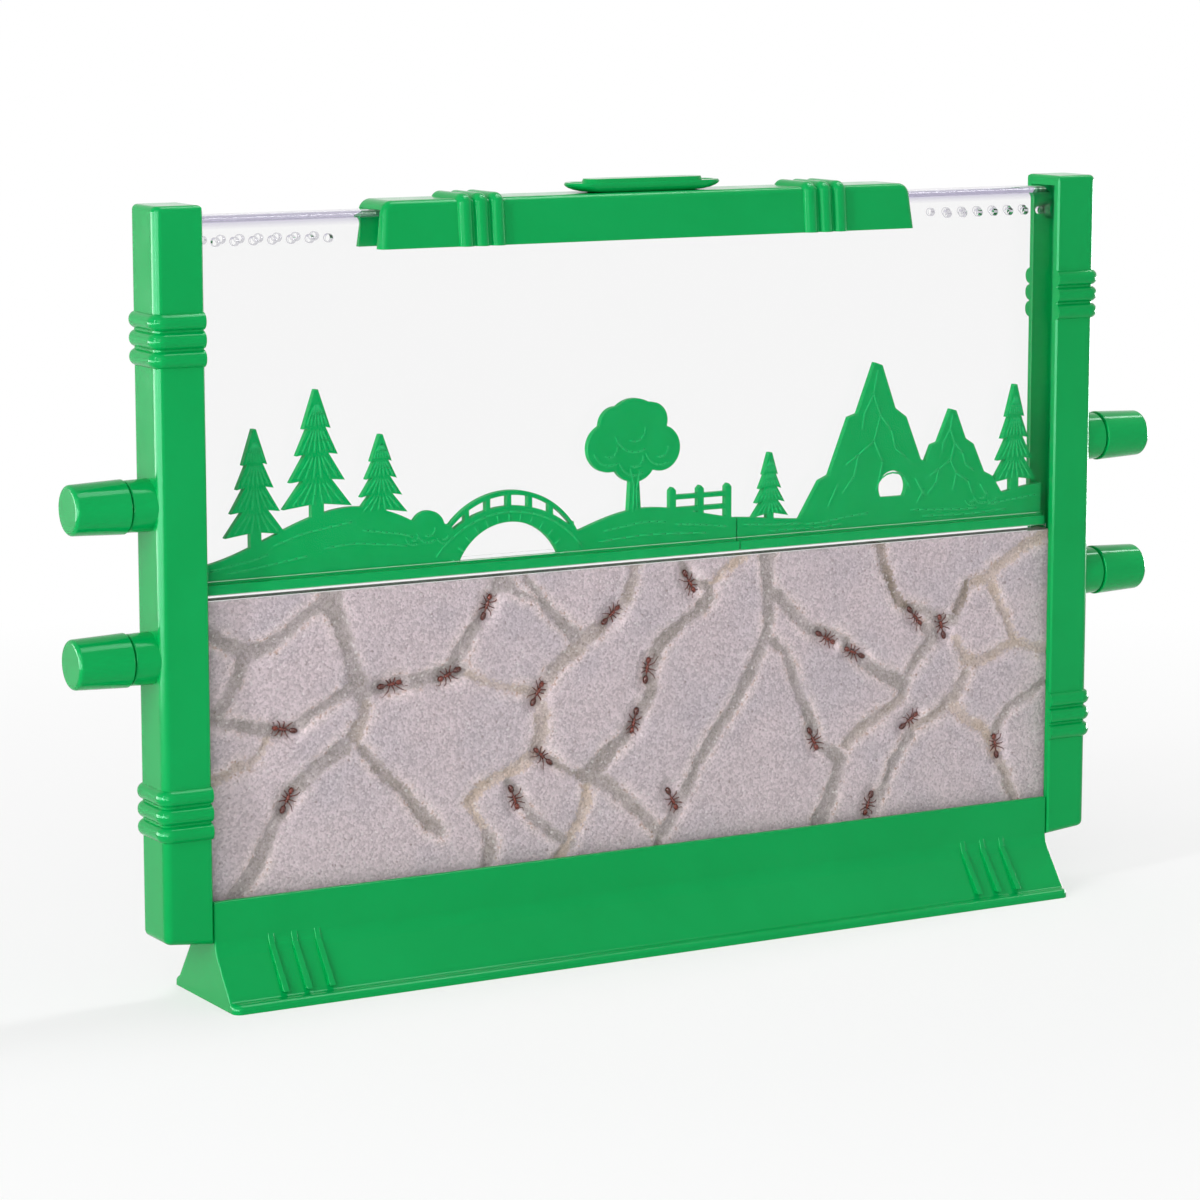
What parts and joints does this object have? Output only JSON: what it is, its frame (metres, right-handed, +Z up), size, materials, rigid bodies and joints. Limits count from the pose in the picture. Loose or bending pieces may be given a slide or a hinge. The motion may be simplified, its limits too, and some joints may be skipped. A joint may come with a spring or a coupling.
{
  "type": "ant habitat",
  "caption": "Flat clear ant habitat on a flared green stand, with ribbed green end posts, capped tube ports, a saddle lid, scenery inserts and a bed of tunnelled sand.",
  "frame": {"origin": "centre of the stand's underside", "axes": "+X along the habitat's length, -Y towards its front face, +Z up"},
  "size_m": [0.289, 0.0336, 0.1811],
  "materials": {
    "green_plastic": "glossy moulded, rich mid green",
    "scenery_plastic": "moulded, with faint raised lines",
    "clear_plastic": "clear polished, streaked in its rounded top edge",
    "sand": "fine pale pinkish-grey grain",
    "ant_shell": "dark red-brown, slightly shiny"
  },
  "bodies": {
    "stand": {"base_stand": "green_plastic"},
    "tank": {"front_window": "clear_plastic", "back_window": "clear_plastic", "left_post": "green_plastic", "right_post": "green_plastic", "sand_fill": "sand", "ants": "ant_shell", "scenery_left": "scenery_plastic", "scenery_right": "scenery_plastic"},
    "lid": {"top_lid": "green_plastic"},
    "cap_left_upper": {"port_cap_left_upper": "green_plastic"},
    "cap_left_lower": {"port_cap_left_lower": "green_plastic"},
    "cap_right_upper": {"port_cap_right_upper": "green_plastic"},
    "cap_right_lower": {"port_cap_right_lower": "green_plastic"}
  },
  "joints": [
    {"name": "tank_lift", "type": "slide", "parent": "stand", "child": "tank", "axis": [0, 0, 1], "range_m": [0, 0.012]},
    {"name": "lid_lift", "type": "slide", "parent": "tank", "child": "lid", "axis": [0, 0, 1], "range_m": [0, 0.02]},
    {"name": "cap_pull_left_upper", "type": "slide", "parent": "tank", "child": "cap_left_upper", "axis": [-1, 0, 0], "range_m": [0, 0.014]},
    {"name": "cap_pull_left_lower", "type": "slide", "parent": "tank", "child": "cap_left_lower", "axis": [-1, 0, 0], "range_m": [0, 0.014]},
    {"name": "cap_pull_right_upper", "type": "slide", "parent": "tank", "child": "cap_right_upper", "axis": [1, 0, 0], "range_m": [0, 0.014]},
    {"name": "cap_pull_right_lower", "type": "slide", "parent": "tank", "child": "cap_right_lower", "axis": [1, 0, 0], "range_m": [0, 0.014]}
  ]
}
